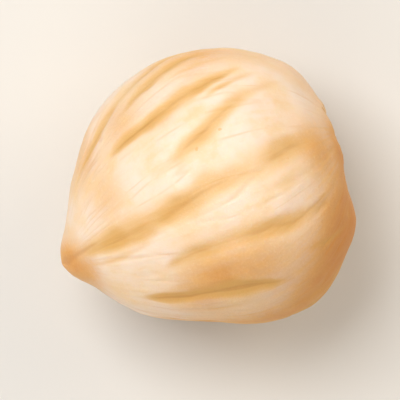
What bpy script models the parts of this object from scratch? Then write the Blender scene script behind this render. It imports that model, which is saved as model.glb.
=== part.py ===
"""A shelled and blanched hazelnut kernel, lying on its flank on one small flat spot.

Run it with blender --background --python part.py, or from Blender's text editor.
Units are metres. The kernel's long axis is X, with the pointed tip at -X and the blunt base at +X.
Z is up and 0 is the surface that it lies on.
The kernel grew in one piece, so it is one solid: a round body with a broad point, a few flats and
swellings, and the furrows that the veins of its skin pressed into it from tip to base.
"""

import math
import random
from collections import namedtuple

import bmesh
import bpy
from mathutils import Vector

# Driving dimensions
LENGTH = 0.0140
WIDTH = 0.0131
HEIGHT = 0.0124
WIDEST = 0.59  # share of the length, from the tip, where the kernel is widest
TIP_CURVE = 1.80  # with TIP_POINT, the profile from the widest ring to the tip
TIP_POINT = 0.74  # 0.5 is a round end, and 1 is a cone
TIP_NECK = 0.048  # how much the kernel narrows behind its tip, as a share of its half width
TIP_NECK_AT = 0.12  # the neck's place, as a share of the way from the tip to the widest ring
BASE_CURVE = 2.25  # 2 is a round base, and more is a blunter one
TIP_LEAN_Y = -0.00010  # how far the tip is drawn to one side
TIP_LEAN_Z = -0.00060  # how far it droops towards the surface
LOBES = ((3, 0.010, 0.5), (5, 0.006, 2.1))  # waves round the girth: count, share of it, phase
REST_DEPTH = 0.00024  # how much of the underside the flat resting spot takes off
REST_BLEND = 0.0005  # height above the flat over which the furrows come back

TIP_REACH = WIDEST * LENGTH
BASE_REACH = LENGTH - TIP_REACH
HALF_WIDTH = WIDTH / 2
HALF_HEIGHT = (HEIGHT + REST_DEPTH) / 2
FLOOR = REST_DEPTH - HALF_HEIGHT  # the resting surface, measured from the axis

# Places on the kernel are given by an angle round it and a share of its length. The angle is in
# degrees from the top, positive towards -Y. The share is 0 at the tip and 1 at the base.

# A swelling, or a flat where the height is negative
Swelling = namedtuple("Swelling", "around along height spread")
SWELLINGS = (
    Swelling(-90, 0.33, 0.00026, 0.0019),
    Swelling(90, 0.36, -0.00030, 0.0020),
    Swelling(90, 0.70, 0.00030, 0.0020),
    Swelling(-90, 0.72, -0.00018, 0.0016),
    Swelling(-90, 0.95, 0.00030, 0.0015),
    Swelling(90, 0.985, -0.00038, 0.0015),
    Swelling(80, 0.92, 0.00022, 0.0013),
    Swelling(-20, 0.86, -0.00018, 0.0015),
    Swelling(35, 0.60, 0.00014, 0.0018),
    Swelling(150, 0.30, -0.00026, 0.0019),
    Swelling(205, 0.84, -0.00024, 0.0017),
    Swelling(245, 0.45, 0.00020, 0.0018),
    Swelling(180, 0.45, 0.00012, 0.0024),
)

# A furrow. Its three angles are at the shares of the length in ANGLE_STATIONS. Beyond
# ROUTE_ENDS its angle no longer turns, so that furrows don't cross at the tip or the base.
Furrow = namedtuple("Furrow", "near_tip half_way near_base start end depth width")
ANGLE_STATIONS = (0.15, 0.55, 0.95)
ROUTE_ENDS = (0.10, 0.97)
FURROW_FADE = 0.09  # share of the length over which a furrow's end dies out
FURROW_PINCH = 0.65  # how much a furrow narrows where the kernel's girth dies away
FURROW_LIP = 0.10  # height of the lips beside a furrow, as a share of its depth
FURROW_RIPPLE = 0.25  # how much a furrow's depth rises and falls on its way
FURROW_RIPPLES = 2.6  # how many times it does so from tip to base
FURROW_WANDER = 1.1  # degrees that a furrow strays from its smooth route
FURROW_WANDERS = 1.4  # how many times it does so from tip to base
PHASE_SPREAD = 6.0  # puts the waves of one furrow out of step with those of the next

# The furrows of the upper side
UPPER_FURROWS = (
    Furrow(-59.0, -81.0, -94.0, 0.10, 0.74, 0.00009, 0.00034),
    Furrow(-53.0, -65.5, -82.0, 0.34, 0.80, 0.00009, 0.00034),
    Furrow(-45.0, -42.5, -66.0, 0.24, 0.84, 0.00010, 0.00034),
    Furrow(-23.5, -21.5, -50.0, 0.34, 0.96, 0.00008, 0.00036),
    Furrow(-3.0, -0.5, -7.0, 0.015, 0.98, 0.00012, 0.00058),
    Furrow(36.5, 20.5, 39.0, 0.26, 0.94, 0.00010, 0.00036),
    Furrow(42.0, 27.5, 69.0, 0.72, 0.95, 0.00010, 0.00030),
    Furrow(49.0, 46.0, 76.0, 0.16, 0.68, 0.00012, 0.00033),
)

# The furrows of the sides and the underside are spaced evenly from one angle to the other.
LOWER_FIRST = 86.0
LOWER_LAST = 246.0
LOWER_COUNT = 10
LOWER_STRAY = 5.0  # degrees that an angle may stray
LOWER_STARTS = (0.06, 0.36)
LOWER_ENDS = (0.80, 0.97)
LOWER_DEPTHS = (0.00005, 0.00015)
LOWER_WIDTHS = (0.00032, 0.00050)
SEED = 10

# The scar at the base, where the skin's veins entered: a shallow cup with a rough raised rim
SCAR_RADIUS = 0.0014
SCAR_DEPTH = 0.00018
SCAR_RIM = 0.00009
SCAR_LOBES = 5
SCAR_WAVE = 0.12  # how much the scar's edge waves, as a share of its radius
SCAR_BOTTOM = 0.35  # the share of its radius that is level
SCAR_RIM_AT = 1.2  # the rim's place and width, as shares of its radius
SCAR_RIM_WIDTH = 0.32

# Mesh of the solid. Its columns run along the furrows, so that each has a column at its bottom.
COLUMN_SPACING = 2.6  # degrees from one column to the next, half way along the kernel
COLUMNS_LEAST = 3  # the fewest columns between two furrows
COLUMN_CROWDING = 0.07  # how far the columns draw towards the furrows, as a share of a rib
RINGS = 40
RING_CROWDING = 1.25  # above 1 the rings crowd towards the tip and the base

KERNEL_COLOUR = (0.82, 0.62, 0.37, 1.0)
KERNEL_ROUGHNESS = 0.5


def clear_scene():
    for obj in list(bpy.data.objects):
        bpy.data.objects.remove(obj, do_unlink=True)


def smoothstep(low, high, value):
    share = min(1.0, max(0.0, (value - low) / (high - low)))
    return share * share * (3 - 2 * share)


def bell(distance, spread):
    return math.exp(-((distance / spread) ** 2))


def lower_furrows():
    """The furrows that lie on the sides and the underside, by a seeded rule."""
    draw = random.Random(SEED)
    spacing = (LOWER_LAST - LOWER_FIRST) / (LOWER_COUNT - 1)
    found = []
    for index in range(LOWER_COUNT):
        half_way = LOWER_FIRST + index * spacing + draw.uniform(-LOWER_STRAY, LOWER_STRAY)
        near_tip = half_way + draw.uniform(-LOWER_STRAY, LOWER_STRAY)
        near_base = half_way + draw.uniform(-LOWER_STRAY, LOWER_STRAY)
        start = draw.uniform(*LOWER_STARTS)
        end = draw.uniform(*LOWER_ENDS)
        depth = draw.uniform(*LOWER_DEPTHS)
        width = draw.uniform(*LOWER_WIDTHS)
        found.append(Furrow(near_tip, half_way, near_base, start, end, depth, width))
    return tuple(found)


FURROWS = UPPER_FURROWS + lower_furrows()


def column_places():
    """The mesh's columns in order: the furrow that each one comes after, and its share of that rib."""
    places = []
    for index, furrow in enumerate(FURROWS):
        following = FURROWS[(index + 1) % len(FURROWS)]
        rib_width = (following.half_way - furrow.half_way) % 360
        steps = max(COLUMNS_LEAST, round(rib_width / COLUMN_SPACING))
        places += [(index, step / steps) for step in range(steps)]
    return places


COLUMN_PLACES = column_places()
COLUMNS = len(COLUMN_PLACES)


def ring_place(ring):
    """How far along the axis a ring of the mesh is, as a share of the length from the tip."""
    turn = 2 * ring / RINGS
    if turn < 1:
        return WIDEST * (1 - math.cos(math.pi / 2 * turn**RING_CROWDING))
    back = math.pi / 2 * (2 - turn) ** RING_CROWDING
    return WIDEST + (1 - WIDEST) * math.cos(back)


def girth(along):
    """Half the kernel's thickness at a place along it, as a share of its greatest."""
    if along < WIDEST:
        way = along / WIDEST
        neck = (way / TIP_NECK_AT) ** 2
        drawn_out = (1 - (1 - way) ** TIP_CURVE) ** TIP_POINT
        return drawn_out - TIP_NECK * neck * math.exp(1 - neck)
    return math.sqrt(max(0.0, 1 - ((along - WIDEST) / (1 - WIDEST)) ** BASE_CURVE))


def body_point(along, around):
    """A point of the smooth body. The axis is at Z 0 and the tip starts from X 0."""
    swell = girth(along)
    for count, share, phase in LOBES:
        swell *= 1 + share * swell * math.cos(count * around + phase)
    lean = max(0.0, 1 - along / WIDEST) ** 2
    y = -HALF_WIDTH * swell * math.sin(around) + TIP_LEAN_Y * lean
    z = HALF_HEIGHT * swell * math.cos(around) + TIP_LEAN_Z * lean
    return Vector((along * LENGTH, y, z))


def body_normal(point):
    """The outward direction at a point, as on an ellipsoid of the kernel's sizes."""
    x = point.x - TIP_REACH
    reach = TIP_REACH if x < 0 else BASE_REACH
    out = Vector((x / reach**2, point.y / HALF_WIDTH**2, point.z / HALF_HEIGHT**2))
    return out.normalized()


def furrow_wave(furrow, along, count):
    """A wave along a furrow, between -1 and 1."""
    return math.sin(PHASE_SPREAD * math.radians(furrow.half_way) + 2 * math.pi * count * along)


def furrow_angle(furrow, along):
    """A furrow's angle round the kernel, in degrees, on a parabola through its three angles."""
    a, b, c = ANGLE_STATIONS
    along = min(max(along, ROUTE_ENDS[0]), ROUTE_ENDS[1])
    route = (
        furrow.near_tip * (along - b) * (along - c) / ((a - b) * (a - c))
        + furrow.half_way * (along - a) * (along - c) / ((b - a) * (b - c))
        + furrow.near_base * (along - a) * (along - b) / ((c - a) * (c - b))
    )
    return route + FURROW_WANDER * furrow_wave(furrow, along, FURROW_WANDERS)


def column_angle(column, along):
    """The angle of a column of the mesh, in radians, between the two furrows that it runs between."""
    rib, share = COLUMN_PLACES[column]
    share -= COLUMN_CROWDING * math.sin(2 * math.pi * share)
    first = furrow_angle(FURROWS[rib], along)
    if rib + 1 < len(FURROWS):
        second = furrow_angle(FURROWS[rib + 1], along)
    else:
        second = furrow_angle(FURROWS[0], along) + 360
    return math.radians(first + (second - first) * share)


def furrow_relief(along, around, radius):
    """How far the furrows raise the surface at a point: negative in a furrow, positive on its lips."""
    relief = 0.0
    pinch = 1 - FURROW_PINCH * (1 - radius / HALF_WIDTH)
    for furrow in FURROWS:
        turn = around - math.radians(furrow_angle(furrow, along))
        turn = math.atan2(math.sin(turn), math.cos(turn))
        across = abs(turn) * radius
        fade = smoothstep(furrow.start, furrow.start + FURROW_FADE, along)
        fade *= 1 - smoothstep(furrow.end - FURROW_FADE, furrow.end, along)
        ripple = 1 + FURROW_RIPPLE * furrow_wave(furrow, along, FURROW_RIPPLES)
        width = furrow.width * pinch
        trough = bell(across, width)
        lip = FURROW_LIP * bell(across - 2 * width, width)
        relief += furrow.depth * pinch * fade * ripple * (lip - trough)
    return relief


def swelling_relief(point):
    relief = 0.0
    for swelling in SWELLINGS:
        centre = body_point(swelling.along, math.radians(swelling.around))
        relief += swelling.height * bell((point - centre).length, swelling.spread)
    return relief


def scar_relief(point, around):
    """The scar's cup and rim, round the axis at the base."""
    if point.x < TIP_REACH:
        return 0.0
    radius = math.hypot(point.y, point.z)
    edge = SCAR_RADIUS * (1 + SCAR_WAVE * math.sin(SCAR_LOBES * around))
    cup = 1 - smoothstep(SCAR_BOTTOM * edge, edge, radius)
    rim = bell(radius - SCAR_RIM_AT * edge, SCAR_RIM_WIDTH * edge)
    return SCAR_RIM * rim - SCAR_DEPTH * cup


def kernel_point(along, around):
    """A point of the finished surface, with the flat resting spot at Z 0."""
    body = body_point(along, around)
    normal = body_normal(body)
    shaped = body + normal * (swelling_relief(body) + scar_relief(body, around))
    clear = smoothstep(FLOOR, FLOOR + REST_BLEND, shaped.z)
    radius = math.hypot(body.y, body.z)
    shaped += normal * furrow_relief(along, around, radius) * clear
    return Vector((shaped.x, shaped.y, max(shaped.z, FLOOR) - FLOOR))


def centre_on_origin(bm):
    """Puts the middle of the kernel's bounds over the origin."""
    for axis in (0, 1):
        places = [vertex.co[axis] for vertex in bm.verts]
        middle = (min(places) + max(places)) / 2
        for vertex in bm.verts:
            vertex.co[axis] -= middle


def kernel_mesh():
    """A sphere whose poles become the base and the tip, shaped point by point."""
    bm = bmesh.new()
    bmesh.ops.create_uvsphere(bm, u_segments=COLUMNS, v_segments=RINGS, radius=1.0)
    for vertex in bm.verts:
        ring = round(RINGS * math.acos(max(-1.0, min(1.0, vertex.co.z))) / math.pi)
        column = round(COLUMNS * math.atan2(vertex.co.y, vertex.co.x) / (2 * math.pi)) % COLUMNS
        along = ring_place(ring)
        vertex.co = kernel_point(along, column_angle(column, along))
    centre_on_origin(bm)
    bmesh.ops.triangulate(bm, faces=bm.faces)
    bmesh.ops.recalc_face_normals(bm, faces=bm.faces)
    mesh = bpy.data.meshes.new("kernel")
    bm.to_mesh(mesh)
    bm.free()
    mesh.shade_smooth()
    return mesh


def kernel_material():
    material = bpy.data.materials.new("kernel")
    material.use_nodes = True
    surface = material.node_tree.nodes["Principled BSDF"]
    surface.inputs["Base Color"].default_value = KERNEL_COLOUR
    surface.inputs["Roughness"].default_value = KERNEL_ROUGHNESS
    surface.inputs["Metallic"].default_value = 0.0
    return material


def make_kernel():
    clear_scene()
    collection = bpy.data.collections.new("hazelnut")
    bpy.context.scene.collection.children.link(collection)
    mesh = kernel_mesh()
    mesh.materials.append(kernel_material())
    collection.objects.link(bpy.data.objects.new("kernel", mesh))


make_kernel()
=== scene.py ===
"""Dresses a blanched hazelnut kernel: its finely modelled surface, its flesh and a plain stage.

The script is laid out as an add-on and is run as a script. Lengths are in metres unless a name ends
in _MM, and angles are in degrees unless a comment says otherwise. The kernel's long axis is X, with
the tip at -X and the base at +X, and it lies on the floor at Z 0.
"""

import math
import random
from collections import namedtuple

import bmesh
import bpy
from bpy.props import FloatProperty, FloatVectorProperty, IntProperty, PointerProperty
from bpy.types import Operator, Panel, PropertyGroup
from mathutils import Euler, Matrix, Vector


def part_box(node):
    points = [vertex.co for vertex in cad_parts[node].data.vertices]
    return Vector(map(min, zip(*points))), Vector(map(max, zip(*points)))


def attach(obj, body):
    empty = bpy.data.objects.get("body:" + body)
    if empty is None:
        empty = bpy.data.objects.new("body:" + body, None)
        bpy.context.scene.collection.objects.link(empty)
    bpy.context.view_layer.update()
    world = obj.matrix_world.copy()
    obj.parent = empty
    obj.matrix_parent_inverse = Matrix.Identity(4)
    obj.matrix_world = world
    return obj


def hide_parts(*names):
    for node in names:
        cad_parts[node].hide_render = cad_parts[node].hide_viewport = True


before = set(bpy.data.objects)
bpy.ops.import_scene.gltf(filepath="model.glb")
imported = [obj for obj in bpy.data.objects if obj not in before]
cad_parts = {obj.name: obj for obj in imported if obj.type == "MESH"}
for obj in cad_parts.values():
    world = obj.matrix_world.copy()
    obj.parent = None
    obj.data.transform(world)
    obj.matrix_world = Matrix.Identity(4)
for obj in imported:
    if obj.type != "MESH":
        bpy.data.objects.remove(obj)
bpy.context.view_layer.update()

bl_info = {
    "name": "Hazelnut Kernel",
    "version": (1, 0, 0),
    "blender": (4, 5, 0),
    "location": "3D View > Sidebar > Hazelnut",
    "description": "Models a blanched hazelnut kernel with its furrows, creases, scar and flesh",
    "category": "Add Mesh",
}

# The kernel's form follows the same rule as the solid that it replaces. These are the sizes of its
# smooth body, before its swellings.
LENGTH = 0.0140
WIDTH = 0.0131
HEIGHT = 0.0124
REST_DEPTH = 0.00024  # what the flat resting spot takes off
WIDEST = 0.59  # share of the length, from the tip, where the kernel is widest
TIP_CURVE = 1.80  # with TIP_POINT, the profile from the widest ring to the tip
TIP_POINT = 0.74
TIP_NECK = 0.048  # how much the kernel narrows behind its tip, as a share of its half width
TIP_NECK_AT = 0.12  # the neck's place, as a share of the way from the tip to the widest ring
BASE_CURVE = 2.25
TIP_LEAN_Y = -0.00010  # how far the tip leans off the axis
TIP_LEAN_Z = -0.00060
LOBES = ((3, 0.010, 0.5), (5, 0.006, 2.1))  # waves round the girth: count, share of it, phase
REST_BLEND = 0.0005  # height above the flat resting spot over which the relief comes back

# A place on the kernel is an angle from the top, positive towards -Y, and a share of the length
# from the tip. A patch there dies out over its spread. As a swelling its amount is a height.
Patch = namedtuple("Patch", "around along amount spread")
SWELLINGS = (
    Patch(-90, 0.33, 0.00026, 0.0019),
    Patch(90, 0.36, -0.00030, 0.0020),
    Patch(90, 0.70, 0.00030, 0.0020),
    Patch(-90, 0.72, -0.00018, 0.0016),
    Patch(-90, 0.95, 0.00030, 0.0015),
    Patch(90, 0.985, -0.00038, 0.0015),
    Patch(80, 0.92, 0.00022, 0.0013),
    Patch(-20, 0.86, -0.00018, 0.0015),
    Patch(35, 0.60, 0.00014, 0.0018),
    Patch(150, 0.30, -0.00026, 0.0019),
    Patch(205, 0.84, -0.00024, 0.0017),
    Patch(245, 0.45, 0.00020, 0.0018),
    Patch(180, 0.45, 0.00012, 0.0024),
)

# A furrow's three angles are at the shares of the length in ANGLE_STATIONS, and beyond ROUTE_ENDS
# its angle no longer turns. Its tint is how much darker the flesh is in it.
Furrow = namedtuple("Furrow", "near_tip half_way near_base start end depth width tint")
ANGLE_STATIONS = (0.15, 0.55, 0.95)
ROUTE_ENDS = (0.10, 0.97)
FURROW_FADE = 0.09  # share of the length over which a furrow's two ends fade out
FURROW_PINCH = 0.65  # how much it narrows and flattens where the kernel is slender
FURROW_LIP = 0.10  # height of the lips beside it, as a share of its depth
FURROW_LIP_AT = 2.0  # their distance from its middle, as a share of its width
FURROW_RIPPLE = 0.25  # how much its depth changes along it, and in how many waves
FURROW_RIPPLES = 2.6
FURROW_WANDER = 1.1  # how far it wanders to its sides, and in how many waves
FURROW_WANDERS = 1.4
PHASE_SPREAD = 6.0  # how much the waves of a furrow differ from those of the next

# The fine surface's furrows also narrow, flatten and pale towards their ends, over a longer share
# of the length, and waver by noise.
FURROW_TAPER = 0.20
FURROW_END_WIDTH = 0.55  # width, depth and tint at the ends, as shares of the full ones
FURROW_END_DEPTH = 0.15
FURROW_END_TINT = 0.35
FURROW_WAVER = 0.09  # in radians
DEPTH_LEAST = 0.38  # depth and breadth are multiplied by this plus the noise times the gain
DEPTH_GAIN = 1.1
BREADTH_LEAST = 0.58
BREADTH_GAIN = 1.1

UPPER_FURROWS = (
    Furrow(-59.0, -81.0, -94.0, 0.10, 0.74, 0.00009, 0.00034, 0.60),
    Furrow(-53.0, -65.5, -82.0, 0.34, 0.80, 0.00009, 0.00034, 0.75),
    Furrow(-45.0, -42.5, -66.0, 0.24, 0.84, 0.00010, 0.00034, 0.95),
    Furrow(-23.5, -21.5, -50.0, 0.34, 0.96, 0.00008, 0.00036, 0.58),
    Furrow(-3.0, -0.5, -7.0, 0.015, 0.98, 0.00012, 0.00058, 0.62),
    Furrow(36.5, 20.5, 39.0, 0.26, 0.94, 0.00010, 0.00036, 0.68),
    Furrow(42.0, 27.5, 69.0, 0.72, 0.95, 0.00010, 0.00030, 1.40),
    Furrow(49.0, 46.0, 76.0, 0.16, 0.68, 0.00012, 0.00033, 1.60),
)

# The furrows of the sides and the underside, which the photograph hides, are seeded.
LOWER_FIRST = 86.0
LOWER_LAST = 246.0
LOWER_COUNT = 10
LOWER_STRAY = 5.0  # how far an angle strays from even spacing
LOWER_STARTS = (0.06, 0.36)
LOWER_ENDS = (0.80, 0.97)
LOWER_DEPTHS = (0.00005, 0.00015)
LOWER_WIDTHS = (0.00032, 0.00050)
LOWER_SEED = 10
LOWER_TINTS = (0.35, 0.95)  # tints of a furrow with no depth and of the deepest

# Faint short furrows, which only the fine surface has
FAINT_FURROWS = (
    Furrow(1.0, 1.5, 0.0, 0.05, 0.46, 0.00002, 0.00044, 0.72),
    Furrow(14.0, 4.0, 0.0, 0.04, 0.34, 0.00004, 0.00020, 0.45),
    Furrow(-18.0, -12.0, -14.0, 0.10, 0.36, 0.00003, 0.00022, 0.30),
    Furrow(-40.0, -36.0, -58.0, 0.60, 0.90, 0.00004, 0.00022, 0.50),
    Furrow(-52.0, -56.0, -76.0, 0.52, 0.84, 0.00004, 0.00022, 0.55),
    Furrow(24.0, 8.0, 14.0, 0.62, 0.93, 0.00003, 0.00024, 0.30),
    Furrow(60.0, 58.0, 74.0, 0.30, 0.56, 0.00004, 0.00022, 0.40),
    Furrow(70.0, 70.0, 82.0, 0.52, 0.90, 0.00004, 0.00026, 0.40),
    Furrow(132.0, 133.0, 134.0, 0.20, 0.60, 0.00004, 0.00022, 0.40),
    Furrow(163.0, 164.0, 166.0, 0.40, 0.86, 0.00004, 0.00024, 0.45),
    Furrow(216.0, 216.0, 214.0, 0.14, 0.52, 0.00004, 0.00022, 0.40),
    Furrow(236.0, 235.0, 236.0, 0.46, 0.88, 0.00004, 0.00024, 0.45),
)

# The scar at the base, and the bands and threads that the shader tints round a furrow
SCAR_RADIUS = 0.0014
SCAR_DEPTH = 0.00018
SCAR_RIM = 0.00009
SCAR_WRINKLES = 0.00012  # height of the wrinkles round it
SCAR_ROUGHNESS = 0.00016  # height of its rough ground
SCAR_KNOB = 0.00012  # height and radius of the small knob in its middle
SCAR_KNOB_RADIUS = 0.00030
SCAR_LOBES = 5
# These are shares of its radius.
SCAR_WAVE = 0.12  # depth of the lobes
SCAR_FRAY = 0.7  # how ragged the edge is
SCAR_BOTTOM = 0.35
SCAR_RIM_AT = 1.2
SCAR_RIM_WIDTH = 0.32
SCAR_STAIN = (0.75, 1.45)  # between which its colour dies out
WRINKLES_RISE = (0.5, 1.1)  # between which the wrinkles rise, and die out again
WRINKLES_FALL = (1.3, 2.6)

KNOB_STAIN = 0.6  # how much browner the knob is than the scar
BAND_SPREAD = 1.20  # width of a furrow's darker band, as a share of the furrow's own width
THREAD_SPREAD = 0.32  # width of the vein's thread at its bottom, in the same way

# The split between the kernel's two halves, which shows as a fine line over the tip
SPLIT_ANGLE = -3.0
SPLIT_FADE = (0.048, 0.16)  # shares of the length between which it fades out
SPLIT_WIDTH = 0.00012
SPLIT_DEPTH = 0.00005
SPLIT_TINT = 0.8

# Where the flesh is toasted, in patches that at the rim also paint shade and warm reflected light,
# and where a scrap of the brown skin is left
TOAST_AND_SHADE_PATCHES = (
    Patch(33, 0.44, 1.05, 0.0017),
    Patch(34, 0.60, 0.80, 0.0016),
    Patch(46, 0.36, 0.55, 0.0014),
    Patch(60, 0.90, 1.95, 0.0028),
    Patch(72, 0.66, 0.75, 0.0030),
    Patch(84, 0.42, 0.65, 0.0022),
    Patch(18, 0.99, 0.90, 0.0015),
    Patch(0, 0.91, 1.00, 0.0014),
    Patch(-24, 0.23, 0.72, 0.0014),
    Patch(-48, 0.36, 0.40, 0.0012),
    Patch(-38, 0.50, 0.55, 0.0009),
    Patch(-57, 0.39, 0.40, 0.0013),
    Patch(-64, 0.19, 0.85, 0.0014),
    Patch(-73, 0.68, 0.68, 0.0022),
    Patch(-4, 0.04, 0.68, 0.0013),
    Patch(30, 0.09, 0.20, 0.0012),
    Patch(200, 0.70, 0.35, 0.0035),
)
LOW_DOWN_SHADE = 0.95  # painted shade on the lower flanks, in the toasting's colour, which dies out between these heights
LOW_SHADE_HEIGHTS_MM = (4.5, 11.5)
SKIN_LEFT = (
    Patch(150, 0.975, 0.80, 0.0010),
    Patch(95, 0.985, 0.62, 0.0008),
    Patch(226, 0.965, 0.72, 0.0009),
    Patch(205, 0.80, 0.50, 0.0009),
    Patch(132, 0.30, 0.50, 0.0009),
)
SKIN_RAGGED = 2.0  # how much noise tears the scraps' edges, and how much they keep to the furrows
SKIN_IN_FURROWS = 0.30
SKIN_LACK = 0.66  # the sum has to pass this for skin to be left
SKIN_EDGE = (0.0, 0.10)
FLAKE_ROUND = 6.0  # the skin scraps' scale round the kernel, and from tip to base
FLAKE_ALONG = 5.0

SURFACE_SIDE = 126  # vertices along a side of the cube that is rounded into the kernel
SURFACE_SEED = 3
UNEVENNESS = 0.00018  # height of the low swells
GRAIN_ROUND = 6.0  # the lengthwise grain's scale round the kernel, and from tip to base
GRAIN_ALONG = 2.0
POLE_FADE = (0.0008, 0.0032)  # radii between which the lengthwise grain comes up at the two ends
CREASE_DEPTH = 0.000032
CREASE_WIDTH = 0.022  # in the vein noise, not in metres
CREASED = (0.46, 0.58)  # the noise between which creases come up
PITS_PER_MM = 0.42
PIT_RADII = (0.06, 0.15)  # as shares of their spacing
PIT_WALL = (0.2, 1.0)  # shares of a pit's radius between which its wall rises
PIT_LACK = 0.62  # the share of the places for pits that have none
PER_MM = 1000.0

# A layer of noise. Its scale is per mm, or per unit of the coordinates that run along the grain.
Noise = namedtuple("Noise", "scale seed detail roughness distortion", defaults=(2.0, 0.5, 0.0))
SWELLS = Noise(0.42, 0.0, 1.0)
HAMMERING = Noise(1.25, 1.0, 1.0)
LENGTHWISE = Noise(2.2, 2.0, 2.0)
VEINS = Noise(1.0, 3.0, 1.0, 0.5, 0.25)
CREASES = Noise(0.35, 4.0)
SCAR_GROUND = Noise(3.2, 5.0, 3.0, 0.65)
FLAKES = Noise(1.3, 6.0, 4.0, 0.65)
WAVERING = Noise(0.45, 7.0, 1.0)
DEPTHS = Noise(0.55, 8.0, 1.0)
BREADTHS = Noise(0.60, 9.0, 1.0)
SCAR_EDGE = Noise(0.9, 20.0, 4.0, 0.65)
WRINKLES = Noise(0.9, 21.0, 1.0)

# Numbers of the sockets of a Mix node for colours, which have no names of their own
MIX_SHARE, MIX_FIRST, MIX_SECOND, MIX_RESULT = 0, 6, 7, 2
COLUMN_STEP = 190
ROW_STEP = 130


# Node trees

def arithmetic(operation, swapped=False):
    """A method that adds a Math node with this operation."""
    def method(self, other):
        pair = (other, self) if swapped else (self, other)
        return calculate(self.tree, operation, *pair)
    return method


class Value:
    """What a node puts out. Sums on it add Math nodes, so that a formula reads as one."""

    def __init__(self, tree, socket):
        self.tree = tree
        self.socket = socket

    __add__ = __radd__ = arithmetic("ADD")
    __mul__ = __rmul__ = arithmetic("MULTIPLY")
    __sub__ = arithmetic("SUBTRACT")
    __rsub__ = arithmetic("SUBTRACT", swapped=True)
    __truediv__ = arithmetic("DIVIDE")
    __rtruediv__ = arithmetic("DIVIDE", swapped=True)
    __pow__ = arithmetic("POWER")

    def of(self, operation, *others):
        return calculate(self.tree, operation, self, *others)


def plug(socket, value):
    """Links a value to an input, or sets the input to a plain number, colour or vector."""
    if isinstance(value, Value):
        value.tree.links.new(value.socket, socket)
    else:
        socket.default_value = value


def add_node(tree, kind, inputs=None, **settings):
    """Adds a node with these settings, and fills its inputs by name or by number."""
    node = tree.nodes.new(kind)
    for name, setting in settings.items():
        setattr(node, name, setting)
    for key, value in (inputs or {}).items():
        plug(node.inputs[key], value)
    return node


def calculate(tree, operation, *values):
    node = add_node(tree, "ShaderNodeMath", dict(enumerate(values)), operation=operation)
    return Value(tree, node.outputs[0])


def vector_sum(tree, operation, *values, scale=None):
    node = add_node(tree, "ShaderNodeVectorMath", dict(enumerate(values)), operation=operation)
    if scale is not None:
        plug(node.inputs["Scale"], scale)
    plain_number = operation in {"DISTANCE", "LENGTH", "DOT_PRODUCT"}
    return Value(tree, node.outputs["Value" if plain_number else "Vector"])


def combine(tree, x, y, z):
    node = add_node(tree, "ShaderNodeCombineXYZ", {"X": x, "Y": y, "Z": z})
    return Value(tree, node.outputs[0])


def separate(vector):
    node = add_node(vector.tree, "ShaderNodeSeparateXYZ", {0: vector})
    return [Value(vector.tree, output) for output in node.outputs]


def smooth_step(value, low, high):
    """0 below low and 1 above high, with an S between them."""
    inputs = {"Value": value, "From Min": low, "From Max": high}
    node = add_node(value.tree, "ShaderNodeMapRange", inputs, interpolation_type="SMOOTHSTEP")
    return Value(value.tree, node.outputs["Result"])


def bell(distance, spread):
    ratio = distance / spread
    return (ratio * ratio * -1.0).of("EXPONENT")


def noise(place, layer, seed=0.0):
    """Smooth noise between about 0.25 and 0.75. Each seed gives another one."""
    inputs = {"Vector": place, "W": seed + layer.seed, "Scale": layer.scale}
    inputs.update({"Detail": layer.detail, "Roughness": layer.roughness})
    inputs["Distortion"] = layer.distortion
    node = add_node(place.tree, "ShaderNodeTexNoise", inputs, noise_dimensions="4D")
    return Value(place.tree, node.outputs["Fac"])


def centred(value):
    """The same noise, between about -0.25 and 0.25."""
    return value - 0.5


def add_up(values):
    return sum(values[1:], values[0])


def mix(values, shares):
    return add_up([value * share for value, share in zip(values, shares) if share])


def new_group(name, kind, inputs, outputs):
    """A node group with named sockets. An input is a name, a socket type and a default or None."""
    tree = bpy.data.node_groups.new(name, kind)
    for label, socket_type, default in inputs:
        socket = tree.interface.new_socket(name=label, in_out="INPUT", socket_type=socket_type)
        if default is not None:
            socket.default_value = default
    for label, socket_type in outputs:
        tree.interface.new_socket(name=label, in_out="OUTPUT", socket_type=socket_type)
    source = tree.nodes.new("NodeGroupInput")
    result = tree.nodes.new("NodeGroupOutput")
    given = {label: Value(tree, source.outputs[label]) for label, _, _ in inputs}
    return tree, given, result


def use_group(tree, group, inputs):
    """Places a node group in a tree, and gives what it puts out by name."""
    node = add_node(tree, "GeometryNodeGroup", node_tree=group)
    for label, value in inputs.items():
        plug(node.inputs[label], value)
    return {output.name: Value(tree, output) for output in node.outputs}


def arrange(tree):
    """Puts the nodes in columns, each to the left of the nodes that it feeds."""
    column = {node: 0 for node in tree.nodes}
    for _ in tree.nodes:
        moved = False
        for link in tree.links:
            needed = column[link.to_node] + 1
            if column[link.from_node] < needed:
                column[link.from_node] = needed
                moved = True
        if not moved:
            break
    rows = {}
    for node in tree.nodes:
        place = column[node]
        rows[place] = rows.get(place, 0) + 1
        node.location = (-COLUMN_STEP * place, -ROW_STEP * rows[place])


# The kernel's form

FLOAT = "NodeSocketFloat"
VECTOR = "NodeSocketVector"
SIZES = (
    ("Length", FLOAT, LENGTH),
    ("Width", FLOAT, WIDTH),
    ("Height", FLOAT, HEIGHT),
    ("Rest Depth", FLOAT, REST_DEPTH),
)
SIZE_NAMES = [label for label, _, _ in SIZES]


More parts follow.
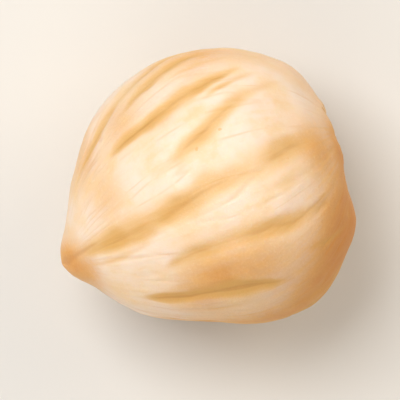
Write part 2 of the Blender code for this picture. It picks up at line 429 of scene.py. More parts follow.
def lower_furrows():
    """The furrows of the sides and the underside, by the same seeded rule as the solid's."""
    draw = random.Random(LOWER_SEED)
    spacing = (LOWER_LAST - LOWER_FIRST) / (LOWER_COUNT - 1)
    found = []
    for index in range(LOWER_COUNT):
        half_way = LOWER_FIRST + index * spacing + draw.uniform(-LOWER_STRAY, LOWER_STRAY)
        near_tip = half_way + draw.uniform(-LOWER_STRAY, LOWER_STRAY)
        near_base = half_way + draw.uniform(-LOWER_STRAY, LOWER_STRAY)
        start = draw.uniform(*LOWER_STARTS)
        end = draw.uniform(*LOWER_ENDS)
        depth = draw.uniform(*LOWER_DEPTHS)
        width = draw.uniform(*LOWER_WIDTHS)
        tint = LOWER_TINTS[0] + (LOWER_TINTS[1] - LOWER_TINTS[0]) * depth / LOWER_DEPTHS[1]
        found.append(Furrow(near_tip, half_way, near_base, start, end, depth, width, tint))
    return tuple(found)


def body_group():
    """The smooth body: a point of it, the way out from it and its distance from the axis."""
    inputs = (("Along", FLOAT, 0.5), ("Around", FLOAT, 0.0)) + SIZES
    outputs = (("Position", VECTOR), ("Outward", VECTOR), ("Radius", FLOAT))
    tree, given, result = new_group("Kernel Body", "GeometryNodeTree", inputs, outputs)
    along = given["Along"]
    around = given["Around"]
    half_width = given["Width"] * 0.5
    half_height = (given["Height"] + given["Rest Depth"]) * 0.5

    to_tip = (1.0 - along / WIDEST).of("MAXIMUM", 0.0)
    to_base = ((along - WIDEST) / (1.0 - WIDEST)).of("MAXIMUM", 0.0)
    tip_girth = (1.0 - to_tip ** TIP_CURVE).of("MAXIMUM", 0.0) ** TIP_POINT
    neck = ((1.0 - to_tip) / TIP_NECK_AT) ** 2.0
    tip_girth = tip_girth - neck * (1.0 - neck).of("EXPONENT") * TIP_NECK
    base_girth = (1.0 - to_base ** BASE_CURVE).of("MAXIMUM", 0.0).of("SQRT")
    girth = tip_girth * base_girth
    for count, share, phase in LOBES:
        wave = (around * float(count) + phase).of("COSINE")
        girth = girth * (1.0 + girth * wave * share)
    lean = to_tip * to_tip
    x = along * given["Length"]
    y = lean * TIP_LEAN_Y - half_width * girth * around.of("SINE")
    z = lean * TIP_LEAN_Z + half_height * girth * around.of("COSINE")

    # The way out is that of an ellipsoid whose half-lengths differ on the tip's and the base's side.
    past_widest = x - given["Length"] * WIDEST
    base_side = past_widest.of("GREATER_THAN", 0.0)
    reach = given["Length"] * (WIDEST + base_side * (1.0 - 2.0 * WIDEST))
    steepness = combine(
        tree,
        past_widest / (reach * reach),
        y / (half_width * half_width),
        z / (half_height * half_height),
    )
    plug(result.inputs["Position"], combine(tree, x, y, z))
    plug(result.inputs["Outward"], vector_sum(tree, "NORMALIZE", steepness))
    plug(result.inputs["Radius"], (y * y + z * z).of("SQRT"))
    arrange(tree)
    return tree


def patch_group(body):
    """An amount that is whole at one place of the body and dies out round it."""
    inputs = (
        ("Position", VECTOR, None),
        ("Patch Around", FLOAT, 0.0),
        ("Patch Along", FLOAT, 0.5),
        ("Amount", FLOAT, 1.0),
        ("Spread", FLOAT, 0.002),
    ) + SIZES
    outputs = (("Amount", FLOAT),)
    tree, given, result = new_group("Kernel Patch", "GeometryNodeTree", inputs, outputs)
    place = {"Along": given["Patch Along"], "Around": given["Patch Around"].of("RADIANS")}
    place.update({name: given[name] for name in SIZE_NAMES})
    centre = use_group(tree, body, place)["Position"]
    distance = vector_sum(tree, "DISTANCE", given["Position"], centre)
    plug(result.inputs["Amount"], given["Amount"] * bell(distance, given["Spread"]))
    arrange(tree)
    return tree


def furrow_group():
    """One furrow: its relief, the darker band along it and the vein's thread at its bottom."""
    inputs = (
        ("Along", FLOAT, 0.5),
        ("Around", FLOAT, 0.0),
        ("Radius", FLOAT, 0.006),
        ("Width Of Kernel", FLOAT, WIDTH),
        ("Breadth", FLOAT, 1.0),
        ("Near Tip", FLOAT, 0.0),
        ("Half Way", FLOAT, 0.0),
        ("Near Base", FLOAT, 0.0),
        ("Start", FLOAT, 0.1),
        ("End", FLOAT, 0.9),
        ("Depth", FLOAT, 0.0002),
        ("Width", FLOAT, 0.0004),
        ("Tint", FLOAT, 1.0),
    )
    outputs = (("Relief", FLOAT), ("Band", FLOAT), ("Thread", FLOAT))
    tree, given, result = new_group("Kernel Furrow", "GeometryNodeTree", inputs, outputs)
    along = given["Along"]
    phase = given["Half Way"].of("RADIANS") * PHASE_SPREAD

    def wave(place, count):
        return (phase + place * (2.0 * math.pi * count)).of("SINE")

    a, b, c = ANGLE_STATIONS
    held = along.of("MAXIMUM", ROUTE_ENDS[0]).of("MINIMUM", ROUTE_ENDS[1])
    from_a, from_b, from_c = held - a, held - b, held - c
    route = (
        given["Near Tip"] * from_b * from_c * (1.0 / ((a - b) * (a - c)))
        + given["Half Way"] * from_a * from_c * (1.0 / ((b - a) * (b - c)))
        + given["Near Base"] * from_a * from_b * (1.0 / ((c - a) * (c - b)))
        + wave(held, FURROW_WANDERS) * FURROW_WANDER
    )
    turn = given["Around"] - route.of("RADIANS")
    turn = turn.of("SINE").of("ARCTAN2", turn.of("COSINE"))
    across = turn.of("ABSOLUTE") * given["Radius"]

    pinch = 1.0 - (1.0 - given["Radius"] / (given["Width Of Kernel"] * 0.5)) * FURROW_PINCH
    start, end = given["Start"], given["End"]
    fade = smooth_step(along, start, start + FURROW_FADE)
    fade = fade * (1.0 - smooth_step(along, end - FURROW_FADE, end))
    taper = smooth_step(along, start, start + FURROW_TAPER)
    taper = taper * (1.0 - smooth_step(along, end - FURROW_TAPER, end))
    narrowing = FURROW_END_WIDTH + taper * (1.0 - FURROW_END_WIDTH)
    width = given["Width"] * pinch * given["Breadth"] * narrowing
    ripple = 1.0 + wave(along, FURROW_RIPPLES) * FURROW_RIPPLE
    lip = bell(across - width * FURROW_LIP_AT, width) * FURROW_LIP
    shallowing = FURROW_END_DEPTH + taper * (1.0 - FURROW_END_DEPTH)
    depth = given["Depth"] * pinch * shallowing * fade * ripple
    plug(result.inputs["Relief"], depth * (lip - bell(across, width)))
    tint = given["Tint"] * fade * ripple * (FURROW_END_TINT + taper * (1.0 - FURROW_END_TINT))
    plug(result.inputs["Band"], bell(across, width * BAND_SPREAD) * tint)
    plug(result.inputs["Thread"], bell(across, width * THREAD_SPREAD) * tint)
    arrange(tree)
    return tree


def place_on_kernel(tree):
    """Turns the points of a cube into places: the share of the length, and the angle in radians."""
    corner = Value(tree, tree.nodes.new("GeometryNodeInputPosition").outputs[0])
    evened = [(part * (math.pi / 4.0)).of("TANGENT") for part in separate(corner)]
    x, y, z = separate(vector_sum(tree, "NORMALIZE", combine(tree, *evened)))
    along = x.of("MINIMUM", 0.0) * WIDEST + x.of("MAXIMUM", 0.0) * (1.0 - WIDEST) + WIDEST
    around = (y * -1.0).of("ARCTAN2", z)
    return along, around


def patches(tree, group, position, sizes, places):
    """The amounts of several patches, added up."""
    found = []
    for patch in places:
        inputs = {"Patch Around": float(patch.around), "Patch Along": patch.along}
        inputs.update({"Amount": patch.amount, "Spread": patch.spread, "Position": position})
        found.append(use_group(tree, group, {**inputs, **sizes})["Amount"])
    return add_up(found)


def scar_at_base(along, radius, place_mm, lobes, grain):
    """The scar's relief, and a mask: 1 in its cup, more on its knob, and 0 well past its rim."""
    frayed = centred(noise(place_mm, SCAR_EDGE))
    edge = (lobes * SCAR_WAVE + 1.0 + frayed * SCAR_FRAY) * SCAR_RADIUS
    base_side = along.of("GREATER_THAN", WIDEST)
    cup = 1.0 - smooth_step(radius, edge * SCAR_BOTTOM, edge)
    rim = bell(radius - edge * SCAR_RIM_AT, edge * SCAR_RIM_WIDTH)
    knob = bell(radius, SCAR_KNOB_RADIUS)
    rise, fall = [
        smooth_step(radius, SCAR_RADIUS * low, SCAR_RADIUS * high)
        for low, high in (WRINKLES_RISE, WRINKLES_FALL)
    ]
    wrinkles = centred(noise(grain, WRINKLES)) * rise * (1.0 - fall)
    relief = rim * SCAR_RIM - cup * SCAR_DEPTH + knob * SCAR_KNOB + wrinkles * SCAR_WRINKLES
    clean = smooth_step(radius, edge * SCAR_STAIN[0], edge * SCAR_STAIN[1])
    mask = 1.0 - clean + knob * KNOB_STAIN
    return relief * base_side, mask * base_side


def split_line(along, around, radius):
    """The line between the two halves, which runs over the tip and fades on both sides."""
    turn = around - math.radians(SPLIT_ANGLE)
    across = turn.of("SINE").of("ABSOLUTE") * radius
    return bell(across, SPLIT_WIDTH) * (1.0 - smooth_step(along, *SPLIT_FADE))


def sparse_pits(place, seed):
    """Small shallow pits: a mask that is 1 in their middle."""
    tree = place.tree
    moved = vector_sum(tree, "ADD", place, combine(tree, seed, 0.0, 0.0))
    node = add_node(tree, "ShaderNodeTexVoronoi", {"Vector": moved, "Scale": PITS_PER_MM})
    chance, size, _ = separate(Value(tree, node.outputs["Color"]))
    least, most = PIT_RADII
    radius = least + size * (most - least)
    pit = 1.0 - smooth_step(Value(tree, node.outputs["Distance"]) / radius, *PIT_WALL)
    return pit * chance.of("GREATER_THAN", PIT_LACK)


# What the tree leaves on the surface for the material to read, beside the grain's coordinates
MASKS = ("furrow_band", "furrow_thread", "vein", "vein_ends", "pit", "toast_and_shade", "scar", "skin")
KERNEL_INPUTS = SIZES + (
    ("Furrow Depth", FLOAT, 1.0),
    ("Unevenness", FLOAT, UNEVENNESS),
    ("Hammering", FLOAT, 0.00006),
    ("Grain Depth", FLOAT, 0.00005),
    ("Crease Depth", FLOAT, CREASE_DEPTH),
    ("Pit Depth", FLOAT, 0.000030),
    ("Skin Thickness", FLOAT, 0.000045),
    ("Seed", FLOAT, float(SURFACE_SEED)),
    ("Material", "NodeSocketMaterial", None),
)


def kernel_tree():
    """The whole kernel: a rounded cube whose points are put on the body and then raised by relief."""
    outputs = (("Geometry", "NodeSocketGeometry"),)
    tree, given, result = new_group("Kernel", "GeometryNodeTree", KERNEL_INPUTS, outputs)
    sizes = {name: given[name] for name in SIZE_NAMES}
    seed = given["Seed"]
    body = body_group()
    patch = patch_group(body)
    furrow = furrow_group()

    along, around = place_on_kernel(tree)
    smooth = use_group(tree, body, {"Along": along, "Around": around, **sizes})
    position, outward, radius = smooth["Position"], smooth["Outward"], smooth["Radius"]
    place_mm = vector_sum(tree, "SCALE", position, scale=PER_MM)

    # Coordinates that run round the kernel and along it, for the grain and for scraps of skin
    turn_x, turn_y = around.of("COSINE"), around.of("SINE")
    grain = combine(tree, turn_x * GRAIN_ROUND, turn_y * GRAIN_ROUND, along * GRAIN_ALONG)
    flake = combine(tree, turn_x * FLAKE_ROUND, turn_y * FLAKE_ROUND, along * FLAKE_ALONG)

    # The large forms
    swelling = patches(tree, patch, position, sizes, SWELLINGS)
    lobes = (around * float(SCAR_LOBES)).of("SINE")
    scar_relief, scar = scar_at_base(along, radius, place_mm, lobes, grain)
    shaped = vector_sum(tree, "SCALE", outward, scale=swelling + scar_relief)
    shaped = vector_sum(tree, "ADD", position, shaped)
    floor = given["Rest Depth"] - (given["Height"] + given["Rest Depth"]) * 0.5
    height = separate(shaped)[2] - floor
    clear = smooth_step(height, 0.0, REST_BLEND)

    # The furrows
    reliefs, bands, threads = [], [], []
    uneven_depth = DEPTH_LEAST + noise(place_mm, DEPTHS, seed) * DEPTH_GAIN
    place = {
        "Along": along,
        "Around": around + centred(noise(place_mm, WAVERING, seed)) * FURROW_WAVER,
        "Radius": radius,
        "Width Of Kernel": given["Width"],
        "Breadth": BREADTH_LEAST + noise(place_mm, BREADTHS, seed) * BREADTH_GAIN,
    }
    for line in UPPER_FURROWS + lower_furrows() + FAINT_FURROWS:
        # The fields of a furrow are the inputs of its group, in other letters.
        named = {name.replace("_", " ").title(): value for name, value in line._asdict().items()}
        made = use_group(tree, furrow, {**place, **named})
        reliefs.append(made["Relief"])
        bands.append(made["Band"])
        threads.append(made["Thread"])
    furrows = add_up(reliefs) * given["Furrow Depth"] * uneven_depth

    # The fine relief
    ends = smooth_step(radius, *POLE_FADE)
    uneven = centred(noise(place_mm, SWELLS, seed))
    hammered = centred(noise(place_mm, HAMMERING, seed))
    lengthwise = centred(noise(grain, LENGTHWISE, seed)) * ends
    vein = noise(grain, VEINS, seed)
    crease = bell(centred(vein), CREASE_WIDTH) * ends
    crease = crease * smooth_step(noise(place_mm, CREASES, seed), *CREASED)
    pit = sparse_pits(place_mm, seed)
    split = split_line(along, around, radius)
    rough_scar = centred(noise(place_mm, SCAR_GROUND, seed)) * scar
    band = add_up(bands) * clear * uneven_depth
    flaky = centred(noise(flake, FLAKES, seed)) * SKIN_RAGGED
    skin = patches(tree, patch, position, sizes, SKIN_LEFT) + flaky
    skin = skin + band * SKIN_IN_FURROWS - SKIN_LACK
    fine = add_up([
        uneven * given["Unevenness"],
        hammered * given["Hammering"],
        lengthwise * given["Grain Depth"],
        crease * given["Crease Depth"] * -1.0,
        pit * given["Pit Depth"] * -1.0,
        split * -SPLIT_DEPTH,
        rough_scar * SCAR_ROUGHNESS,
        smooth_step(skin, *SKIN_EDGE) * given["Skin Thickness"],
    ])
    raised = vector_sum(tree, "SCALE", outward, scale=(furrows + fine) * clear)
    x, y, z = separate(vector_sum(tree, "ADD", shaped, raised))
    finished = combine(tree, x, y, (z - floor).of("MAXIMUM", 0.0))

    # What the material reads
    # The toasting patches, which at the rim also paint shade and warm reflected light
    toast_and_shade = patches(tree, patch, position, sizes, TOAST_AND_SHADE_PATCHES)
    thread = (add_up(threads) * uneven_depth + split * SPLIT_TINT) * clear
    fields = (band, thread, vein, ends, pit, toast_and_shade, scar, skin)
    cube = add_node(tree, "GeometryNodeMeshCube", {"Size": (2.0, 2.0, 2.0)})
    for side in ("Vertices X", "Vertices Y", "Vertices Z"):
        cube.inputs[side].default_value = SURFACE_SIDE
    mesh = Value(tree, cube.outputs["Mesh"])
    for name, field in zip(MASKS, fields):
        inputs = {"Geometry": mesh, "Name": name, "Value": field}
        stored = add_node(tree, "GeometryNodeStoreNamedAttribute", inputs, data_type="FLOAT")
        mesh = Value(tree, stored.outputs["Geometry"])
    stored = add_node(tree, "GeometryNodeStoreNamedAttribute", data_type="FLOAT_VECTOR")
    for label, value in (("Geometry", mesh), ("Name", "grain"), ("Value", grain)):
        plug(stored.inputs[label], value)
    inputs = {"Geometry": Value(tree, stored.outputs["Geometry"]), "Position": finished}
    mesh = Value(tree, add_node(tree, "GeometryNodeSetPosition", inputs).outputs[0])

    # The middle of the bounds goes over the origin, as in the solid.
    box = add_node(tree, "GeometryNodeBoundBox", {"Geometry": mesh})
    low, high = Value(tree, box.outputs["Min"]), Value(tree, box.outputs["Max"])
    middle = vector_sum(tree, "MULTIPLY", vector_sum(tree, "ADD", low, high), (-0.5, -0.5, 0.0))
    inputs = {"Geometry": mesh, "Translation": middle}
    mesh = Value(tree, add_node(tree, "GeometryNodeTransform", inputs).outputs[0])
    mesh = Value(tree, add_node(tree, "GeometryNodeSetShadeSmooth", {0: mesh}).outputs[0])
    mesh = Value(tree, add_node(tree, "GeometryNodeRealizeInstances", {0: mesh}).outputs[0])
    inputs = {"Geometry": mesh, "Material": given["Material"]}
    mesh = Value(tree, add_node(tree, "GeometryNodeSetMaterial", inputs).outputs[0])
    plug(result.inputs["Geometry"], mesh)
    arrange(tree)
    return tree


# The kernel's flesh

# Its layers of noise
CLOUDS = Noise(0.55, 11.0, 3.0)
MOTTLES = Noise(2.6, 12.0, 4.0, 0.6)
STREAKS = Noise(3.0, 13.0, 3.0, 0.6)
POWDER = Noise(9.0, 14.0, 3.0, 0.7)
FRECKLES = Noise(2.6, 15.0, 1.0)
FIBRES = Noise(9.0, 16.0, 2.0)
PORES = Noise(24.0, 17.0, 1.0)
BLOTCHES = Noise(1.9, 18.0, 5.0, 0.7)
SOFT_CLOUDS = Noise(0.30, 19.0, 1.0)

# How much clouds, streaks, mottles and powder change a mask
CHALK_MIX = (0.60, 0.22, 0.18, 0.0)
PALE_TOAST_MIX = (0.0, 0.45, 0.35, 0.20)
TOAST_AND_SHADE_MIX = (0.9, 1.1, 0.7, 0.0)
ROUGHNESS_MIX = (0.0, 0.0, 0.18, 0.12)

# The flesh's colours lie in coats. A coat comes up where its mask goes from low to high, and then
# covers this share of what is under it.
Coat = namedtuple("Coat", "low high cover", defaults=(1.0,))
CREST = Coat(0.05, 0.55)
CHALK = Coat(0.34, 0.60)
LOW_CLOUDS = Coat(0.25, 0.70)
PALE_TOAST = Coat(0.40, 0.62)
# The toasting's coat, which also lays painted shade and warm reflected light at the rim and low down
TOAST_AND_SHADE = Coat(-0.10, 1.55, 0.92)
# Painted shade at the rim, a deep brown-red where the toasting is strongest
DEEP_SHADE = Coat(0.90, 2.10)
DUST = Coat(0.50, 0.72, 0.28)
BAND = Coat(0.06, 1.00, 0.92)
THREAD = Coat(0.25, 1.10, 0.34)
FINE_VEINS = Coat(0.40, 0.60, 0.30)
FRECKLED = Coat(0.745, 0.80, 0.50)
SCAR_TAN = Coat(0.05, 0.80, 0.85)
SCAR_BROWN = Coat(0.45, 1.10, 0.75)
SKIN = Coat(0.0, 0.05, 0.92)
SKIN_TONES = Coat(0.35, 0.65)
PIT_COVER = 0.45
DUST_OFF_TOAST_AND_SHADE = 0.92  # how much of the chalk's dust is missing where the toasting and its painted shade lie
DEEP_SHADE_LEAST = 0.30  # the rest of it comes with the streaks
BAND_LEAST = 0.65  # a furrow's band and thread are streaked too
BAND_STREAKS = 0.7
THREAD_STREAKS = 2.0
FINE_VEIN_WIDTH = 0.020

# Brown fibre is left all over the scar, and in blotches on its rim.
SCAR_FIBRE = 0.55
SCAR_BLOTCHES = 1.8
RIM_FIBRE = 0.25
RIM_BLOTCHES = 2.0
RIM_MASK = 0.45  # the scar's mask at its rim, and how far the rim's fibre reaches in it
RIM_SPREAD = 0.22

BAND_ROUGHNESS = 0.08  # how much duller the furrows are, and how much glossier the skin
SKIN_GLOSS = 0.10
BUMP_HEIGHT = 0.001  # the next three are shares of it
POWDER_BUMP = 0.022
FIBRE_BUMP = 0.010
PORE_BUMP = 0.0035
REFRACTION = 1.45
LIGHT_REACH = 0.0011  # how far light goes into the flesh, and the share of it in each colour
LIGHT_REACH_SHARES = (1.0, 0.55, 0.28)


def attribute(tree, name, output="Fac"):
    node = add_node(tree, "ShaderNodeAttribute", attribute_name=name)
    return Value(tree, node.outputs[output])


def blend(share, first, second):
    """The first colour where share is 0, and the second where it is 1."""
    inputs = {MIX_SHARE: share, MIX_FIRST: first, MIX_SECOND: second}
    node = add_node(share.tree, "ShaderNodeMix", inputs, data_type="RGBA")
    return Value(share.tree, node.outputs[MIX_RESULT])


def shows(mask, coat):
    """How much of a coat there is, from 0 to 1."""
    return smooth_step(mask, coat.low, coat.high)


def lay(mask, coat, under, over):
    """A coat of colour over another one."""
    return blend(shows(mask, coat) * coat.cover, under, over)


def solid_colour(colour):
    return (*colour, 1.0)


def flesh_colour(settings, place_mm, kinds, masks):
    """The flesh's colour, from its first coat to its last."""
    cloudy, streaked, mottled, powdery = kinds
    chalk = solid_colour(settings.chalk_colour)
    tan = solid_colour(settings.furrow_colour)
    vein_brown = solid_colour(settings.vein_colour)

    # Chalk lies on the crests between the furrows, in clouds and lengthwise streaks.
    crest = 1.0 - shows(masks["furrow_band"], CREST)
    chalky = shows(mix(kinds, CHALK_MIX), CHALK) * crest
    colour = blend(chalky, solid_colour(settings.flesh_colour), chalk)

    # The toasting is paler in streaks. Shade is painted with it: it is stronger low down, and at the
    # rim, where it is strongest, a deeper painted shade comes in streaks.
    toast_colour = solid_colour(settings.toast_colour)
    pale_colour = solid_colour(settings.light_toast_colour)
    toasted = lay(mix(kinds, PALE_TOAST_MIX), PALE_TOAST, toast_colour, pale_colour)
    # Painted shade: the lower flanks are darker, and this dies out with height
    low_down_shade = 1.0 - smooth_step(separate(place_mm)[2], *LOW_SHADE_HEIGHTS_MM)
    low_down_shade = low_down_shade * shows(noise(place_mm, SOFT_CLOUDS), LOW_CLOUDS)
    toast_and_shade = masks["toast_and_shade"] + low_down_shade * LOW_DOWN_SHADE
    toast_and_shade = toast_and_shade + mix([centred(kind) for kind in kinds], TOAST_AND_SHADE_MIX)
    toast_and_shade_cover = shows(toast_and_shade, TOAST_AND_SHADE)
    colour = blend(toast_and_shade_cover * TOAST_AND_SHADE.cover, colour, toasted)
    # Painted shade at the rim: deep brown-red where the toasting is strongest, in streaks
    deep_shade = shows(toast_and_shade, DEEP_SHADE) * (DEEP_SHADE_LEAST + streaked * (1.0 - DEEP_SHADE_LEAST))
    colour = blend(deep_shade, colour, solid_colour(settings.deep_shade_colour))
    dusty = shows(powdery, DUST) * (1.0 - toast_and_shade_cover * DUST_OFF_TOAST_AND_SHADE)
    colour = blend(dusty * DUST.cover, colour, chalk)

    # The furrows with their threads, the fine veins, the freckles and the pits
    colour = blend(masks["in_band"] * BAND.cover, colour, tan)
    thread = masks["furrow_thread"] * (streaked * THREAD_STREAKS)
    colour = lay(thread, THREAD, colour, vein_brown)
    fine_vein = bell(centred(masks["vein"]), FINE_VEIN_WIDTH) * masks["vein_ends"]
    fine_vein = fine_vein * shows(cloudy, FINE_VEINS)
    colour = blend(fine_vein * FINE_VEINS.cover, colour, tan)
    colour = lay(noise(place_mm, FRECKLES), FRECKLED, colour, tan)
    colour = blend(masks["pit"] * PIT_COVER, colour, tan)

    # The scar's fibre and the scraps of skin
    blotchy = centred(noise(place_mm, BLOTCHES))
    rim = bell(masks["scar"] - RIM_MASK, RIM_SPREAD)
    fibrous = masks["scar"] * (SCAR_FIBRE + blotchy * SCAR_BLOTCHES)
    fibrous = fibrous + rim * (RIM_FIBRE + blotchy * RIM_BLOTCHES)
    colour = lay(fibrous, SCAR_TAN, colour, tan)
    colour = lay(fibrous, SCAR_BROWN, colour, vein_brown)
    skin_tone = lay(mottled, SKIN_TONES, solid_colour(settings.skin_colour), vein_brown)
    return lay(masks["skin"], SKIN, colour, skin_tone)


def flesh_material(settings):
    """Chalky cream flesh, tan in the furrows and where it is toasted, with painted shade laid as
    toasting at the rim and low down, and scraps of brown skin.
    """
    material = bpy.data.materials.new("kernel_flesh")
    material.use_nodes = True
    tree = material.node_tree
    tree.nodes.clear()
    coordinates = Value(tree, tree.nodes.new("ShaderNodeTexCoord").outputs["Object"])
    place_mm = vector_sum(tree, "SCALE", coordinates, scale=PER_MM)
    grain = attribute(tree, "grain", "Vector")
    masks = {name: attribute(tree, name) for name in MASKS}

    streaked = centred(noise(grain, STREAKS)) * masks["vein_ends"] + 0.5
    mottled = noise(place_mm, MOTTLES)
    powdery = noise(place_mm, POWDER)
    kinds = (noise(place_mm, CLOUDS), streaked, mottled, powdery)
    streaked_band = masks["furrow_band"] * (BAND_LEAST + streaked * BAND_STREAKS)
    masks["in_band"] = shows(streaked_band, BAND)
    colour = flesh_colour(settings, place_mm, kinds, masks)

    rough = settings.roughness + mix([centred(kind) for kind in kinds], ROUGHNESS_MIX)
    rough = rough + masks["in_band"] * BAND_ROUGHNESS
    rough = rough - shows(masks["skin"], SKIN) * SKIN_GLOSS

    height = centred(powdery) * POWDER_BUMP + centred(noise(grain, FIBRES)) * FIBRE_BUMP
    height = height + centred(noise(place_mm, PORES)) * PORE_BUMP
    inputs = {"Strength": 1.0, "Distance": BUMP_HEIGHT, "Height": height}
    bump = Value(tree, add_node(tree, "ShaderNodeBump", inputs).outputs["Normal"])

    surface = add_node(tree, "ShaderNodeBsdfPrincipled")
    plug(surface.inputs["Base Color"], colour)
    plug(surface.inputs["Roughness"], rough)
    plug(surface.inputs["Normal"], bump)
    surface.inputs["IOR"].default_value = REFRACTION
    surface.inputs["Specular IOR Level"].default_value = settings.shine
    surface.inputs["Subsurface Weight"].default_value = settings.translucence
    surface.inputs["Subsurface Radius"].default_value = LIGHT_REACH_SHARES
    surface.inputs["Subsurface Scale"].default_value = LIGHT_REACH
    output = add_node(tree, "ShaderNodeOutputMaterial")
    tree.links.new(surface.outputs["BSDF"], output.inputs["Surface"])
    arrange(tree)
    return material


def make_kernel(settings):
    """The kernel as one plain mesh, in the place of the frame's solid."""
    material = flesh_material(settings)
    tree = kernel_tree()
    piece = bpy.data.objects.new("hazelnut_kernel", bpy.data.meshes.new("grower"))
    bpy.context.scene.collection.objects.link(piece)
    modifier = piece.modifiers.new("Kernel", "NODES")
    modifier.node_group = tree
    chosen = {
        "Length": settings.length,
        "Width": settings.width,
        "Height": settings.height,
        "Rest Depth": settings.rest_depth,
        "Furrow Depth": settings.furrow_depth,
        "Unevenness": settings.unevenness,
        "Crease Depth": settings.crease_depth,
        "Seed": float(settings.seed),
        "Material": material,
    }
    for item in tree.interface.items_tree:
        if item.in_out == "INPUT" and item.name in chosen:
            modifier[item.identifier] = chosen[item.name]
    depsgraph = bpy.context.evaluated_depsgraph_get()
    mesh = bpy.data.meshes.new_from_object(piece.evaluated_get(depsgraph))
    piece.modifiers.remove(modifier)
    empty, piece.data = piece.data, mesh
    bpy.data.meshes.remove(empty)
    mesh.name = "hazelnut_kernel"
    if not mesh.vertices:
        raise RuntimeError("The kernel's tree made no mesh")
    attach(piece, "root")
    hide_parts("kernel")


# The stage

FLOOR_DROP = 0.00001  # how far the floor lies under the kernel, so that they don't share a face
FLOOR_ROUGHNESS = 0.85
FLOOR_SHINE = 0.2
ROOM_COLOUR = (1.0, 0.985, 0.965)
SENSOR_WIDTH_MM = 36.0

# A soft square light. Its azimuth is measured in the picture, from its right to its top.
Light = namedtuple("Light", "name azimuth elevation distance size colour")
KEY = Light("key", 135.0, 60.0, 0.30, 0.18, (1.0, 0.985, 0.96))
FILL = Light("fill", -110.0, 35.0, 0.32, 0.26, (1.0, 0.89, 0.74))
SIDE = Light("side", 34.0, 32.0, 0.32, 0.20, (1.0, 0.83, 0.62))


def make_floor(settings):
    mesh = bpy.data.meshes.new("floor")
    shape = bmesh.new()
    bmesh.ops.create_grid(shape, x_segments=1, y_segments=1, size=settings.floor_size / 2.0)
    bmesh.ops.translate(shape, verts=shape.verts, vec=(0.0, 0.0, -FLOOR_DROP))
    shape.to_mesh(mesh)
    shape.free()
    floor = bpy.data.objects.new("floor", mesh)
    bpy.context.scene.collection.objects.link(floor)
    material = bpy.data.materials.new("floor")
    material.use_nodes = True
    surface = material.node_tree.nodes["Principled BSDF"]
    surface.inputs["Base Color"].default_value = solid_colour(settings.floor_colour)
    surface.inputs["Roughness"].default_value = FLOOR_ROUGHNESS
    surface.inputs["Specular IOR Level"].default_value = FLOOR_SHINE
    mesh.materials.append(material)


def make_light(light, power, roll, target):
    data = bpy.data.lights.new(light.name, "AREA")
    data.shape = "SQUARE"
    data.size = light.size
    data.energy = power
    data.color = light.colour
    lamp = bpy.data.objects.new(light.name, data)
    bpy.context.scene.collection.objects.link(lamp)
    azimuth = math.radians(light.azimuth) + roll
    elevation = math.radians(light.elevation)
    across = math.cos(elevation)
    way = Vector((across * math.cos(azimuth), across * math.sin(azimuth), math.sin(elevation)))
    lamp.location = target + way * light.distance
    lamp.rotation_euler = way.to_track_quat("Z", "Y").to_euler()


def make_stage(settings):
    """The floor, the lights and the camera, which looks straight down as in the photograph."""
    scene = bpy.context.scene
    make_floor(settings)
    low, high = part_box("kernel")
    target = (Vector(low) + Vector(high)) / 2.0
    powers = (settings.key_power, settings.fill_power, settings.side_power)
    for light, power in zip((KEY, FILL, SIDE), powers):
        make_light(light, power, settings.camera_roll, target)

    world = bpy.data.worlds.new("studio")
    world.use_nodes = True
    background = world.node_tree.nodes["Background"]
    background.inputs["Color"].default_value = solid_colour(ROOM_COLOUR)
    background.inputs["Strength"].default_value = settings.room_light
    scene.world = world
    scene.view_settings.view_transform = "Standard"

    data = bpy.data.cameras.new("camera")
    data.sensor_width = SENSOR_WIDTH_MM
    data.lens = data.sensor_width * (settings.camera_height - target.z) / settings.frame_width
    camera = bpy.data.objects.new("camera", data)
    scene.collection.objects.link(camera)
    camera.location = (target.x, target.y, settings.camera_height)
    camera.rotation_euler = Euler((0.0, 0.0, settings.camera_roll))
    scene.camera = camera


# The add-on

def length_property(name, description, default):
    return FloatProperty(
        name=name, description=description, default=default, min=0.0, unit="LENGTH", precision=5
    )


def share_property(name, description, default, highest=1.0):
    return FloatProperty(
        name=name, description=description, default=default, min=0.0, max=highest, subtype="FACTOR"
    )


def colour_property(name, description, default):
    return FloatVectorProperty(
        name=name, description=description, default=default, min=0.0, max=1.0, subtype="COLOR"
    )


def power_property(name, description, default):
    return FloatProperty(
        name=name, description=description, default=default, min=0.0, unit="POWER"
    )


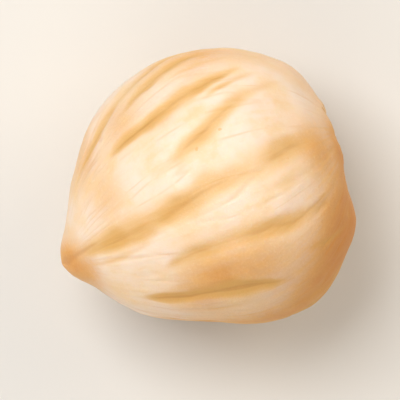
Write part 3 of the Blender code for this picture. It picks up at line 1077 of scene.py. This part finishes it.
class HazelnutKernelSettings(PropertyGroup):
    length: length_property("Length", "From the tip to the base", LENGTH)
    width: length_property("Width", "Across the body, before its swellings", WIDTH)
    height: length_property("Height", "From the resting spot to the top", HEIGHT)
    rest_depth: length_property("Rest Depth", "What the flat resting spot takes off", REST_DEPTH)
    furrow_depth: share_property("Furrow Depth", "Depth of every furrow", 1.0, 2.0)
    unevenness: length_property("Unevenness", "Height of the low swells", UNEVENNESS)
    crease_depth: length_property("Crease Depth", "Depth of the thin creases", CREASE_DEPTH)
    seed: IntProperty(
        name="Seed", description="Another surface of the same kind", default=SURFACE_SEED, min=0
    )
    flesh_colour: colour_property("Flesh", "Bare flesh", (0.87, 0.625, 0.365))
    chalk_colour: colour_property("Chalk", "Chalky crests", (0.92, 0.775, 0.665))
    furrow_colour: colour_property("Furrows", "Flesh in the furrows", (0.71, 0.405, 0.125))
    # Toasting, which also paints shade and warm reflected light at the rim and low down
    toast_colour: colour_property("Toasting", "Flesh where it is toasted", (0.69, 0.325, 0.072))
    # Painted shade at the rim, laid as the deepest toasting
    deep_shade_colour: colour_property("Deep Toasting", "Where it is strongest", (0.62, 0.215, 0.030))
    light_toast_colour: colour_property("Light Toasting", "Paler streaks in it", (0.82, 0.465, 0.145))
    vein_colour: colour_property("Veins", "Threads, freckles and the scar", (0.48, 0.20, 0.058))
    skin_colour: colour_property("Skin", "Scraps of skin", (0.22, 0.072, 0.026))
    roughness: share_property("Roughness", "How dull the flesh is", 0.52)
    shine: share_property("Shine", "Strength of the highlights", 0.26)
    translucence: share_property("Translucence", "How far light goes into the flesh", 0.30)


class HazelnutStageSettings(PropertyGroup):
    floor_size: length_property("Floor", "Side of the floor", 3.0)
    floor_colour: colour_property("Floor Colour", "Colour of the floor", (0.74, 0.725, 0.70))
    key_power: power_property("Key Light", "Power of the main light", 0.73)
    fill_power: power_property("Fill Light", "Power of the fill light", 0.30)
    side_power: power_property("Side Light", "Power of the light from the side", 0.30)
    room_light: FloatProperty(
        name="Room Light", description="Light from all round", default=0.34, min=0.0
    )
    camera_height: length_property("Camera Height", "Height of the camera over the floor", 0.26)
    frame_width: length_property("Frame Width", "What the picture takes in", 0.0184)
    camera_roll: FloatProperty(
        name="Camera Roll",
        description="Turn of the camera about its own axis",
        default=math.radians(-25.0),
        subtype="ANGLE",
    )


class HAZELNUT_OT_kernel(Operator):
    """Make the kernel's fine surface and its flesh in the place of the plain solid"""

    bl_idname = "hazelnut.kernel"
    bl_label = "Kernel"
    bl_options = {"REGISTER", "UNDO"}

    def execute(self, context):
        make_kernel(context.scene.hazelnut_kernel)
        return {"FINISHED"}


class HAZELNUT_OT_stage(Operator):
    """Make the floor, the lights and the camera"""

    bl_idname = "hazelnut.stage"
    bl_label = "Stage"
    bl_options = {"REGISTER", "UNDO"}

    def execute(self, context):
        make_stage(context.scene.hazelnut_stage)
        return {"FINISHED"}


class HAZELNUT_PT_panel(Panel):
    """The sizes and colours of the kernel and its stage, and the buttons that make them"""

    bl_idname = "HAZELNUT_PT_panel"
    bl_label = "Hazelnut"
    bl_space_type = "VIEW_3D"
    bl_region_type = "UI"
    bl_category = "Hazelnut"

    def draw(self, context):
        for operator, settings in (
            (HAZELNUT_OT_kernel, context.scene.hazelnut_kernel),
            (HAZELNUT_OT_stage, context.scene.hazelnut_stage),
        ):
            box = self.layout.box()
            box.operator(operator.bl_idname)
            for name in settings.bl_rna.properties.keys():
                if name not in {"rna_type", "name"}:
                    box.prop(settings, name)


CLASSES = (
    HazelnutKernelSettings,
    HazelnutStageSettings,
    HAZELNUT_OT_kernel,
    HAZELNUT_OT_stage,
    HAZELNUT_PT_panel,
)


def register():
    for cls in CLASSES:
        bpy.utils.register_class(cls)
    bpy.types.Scene.hazelnut_kernel = PointerProperty(type=HazelnutKernelSettings)
    bpy.types.Scene.hazelnut_stage = PointerProperty(type=HazelnutStageSettings)


def unregister():
    del bpy.types.Scene.hazelnut_stage
    del bpy.types.Scene.hazelnut_kernel
    for cls in reversed(CLASSES):
        bpy.utils.unregister_class(cls)


def main():
    register()
    bpy.ops.hazelnut.kernel()
    bpy.ops.hazelnut.stage()


if __name__ == "__main__":
    main()
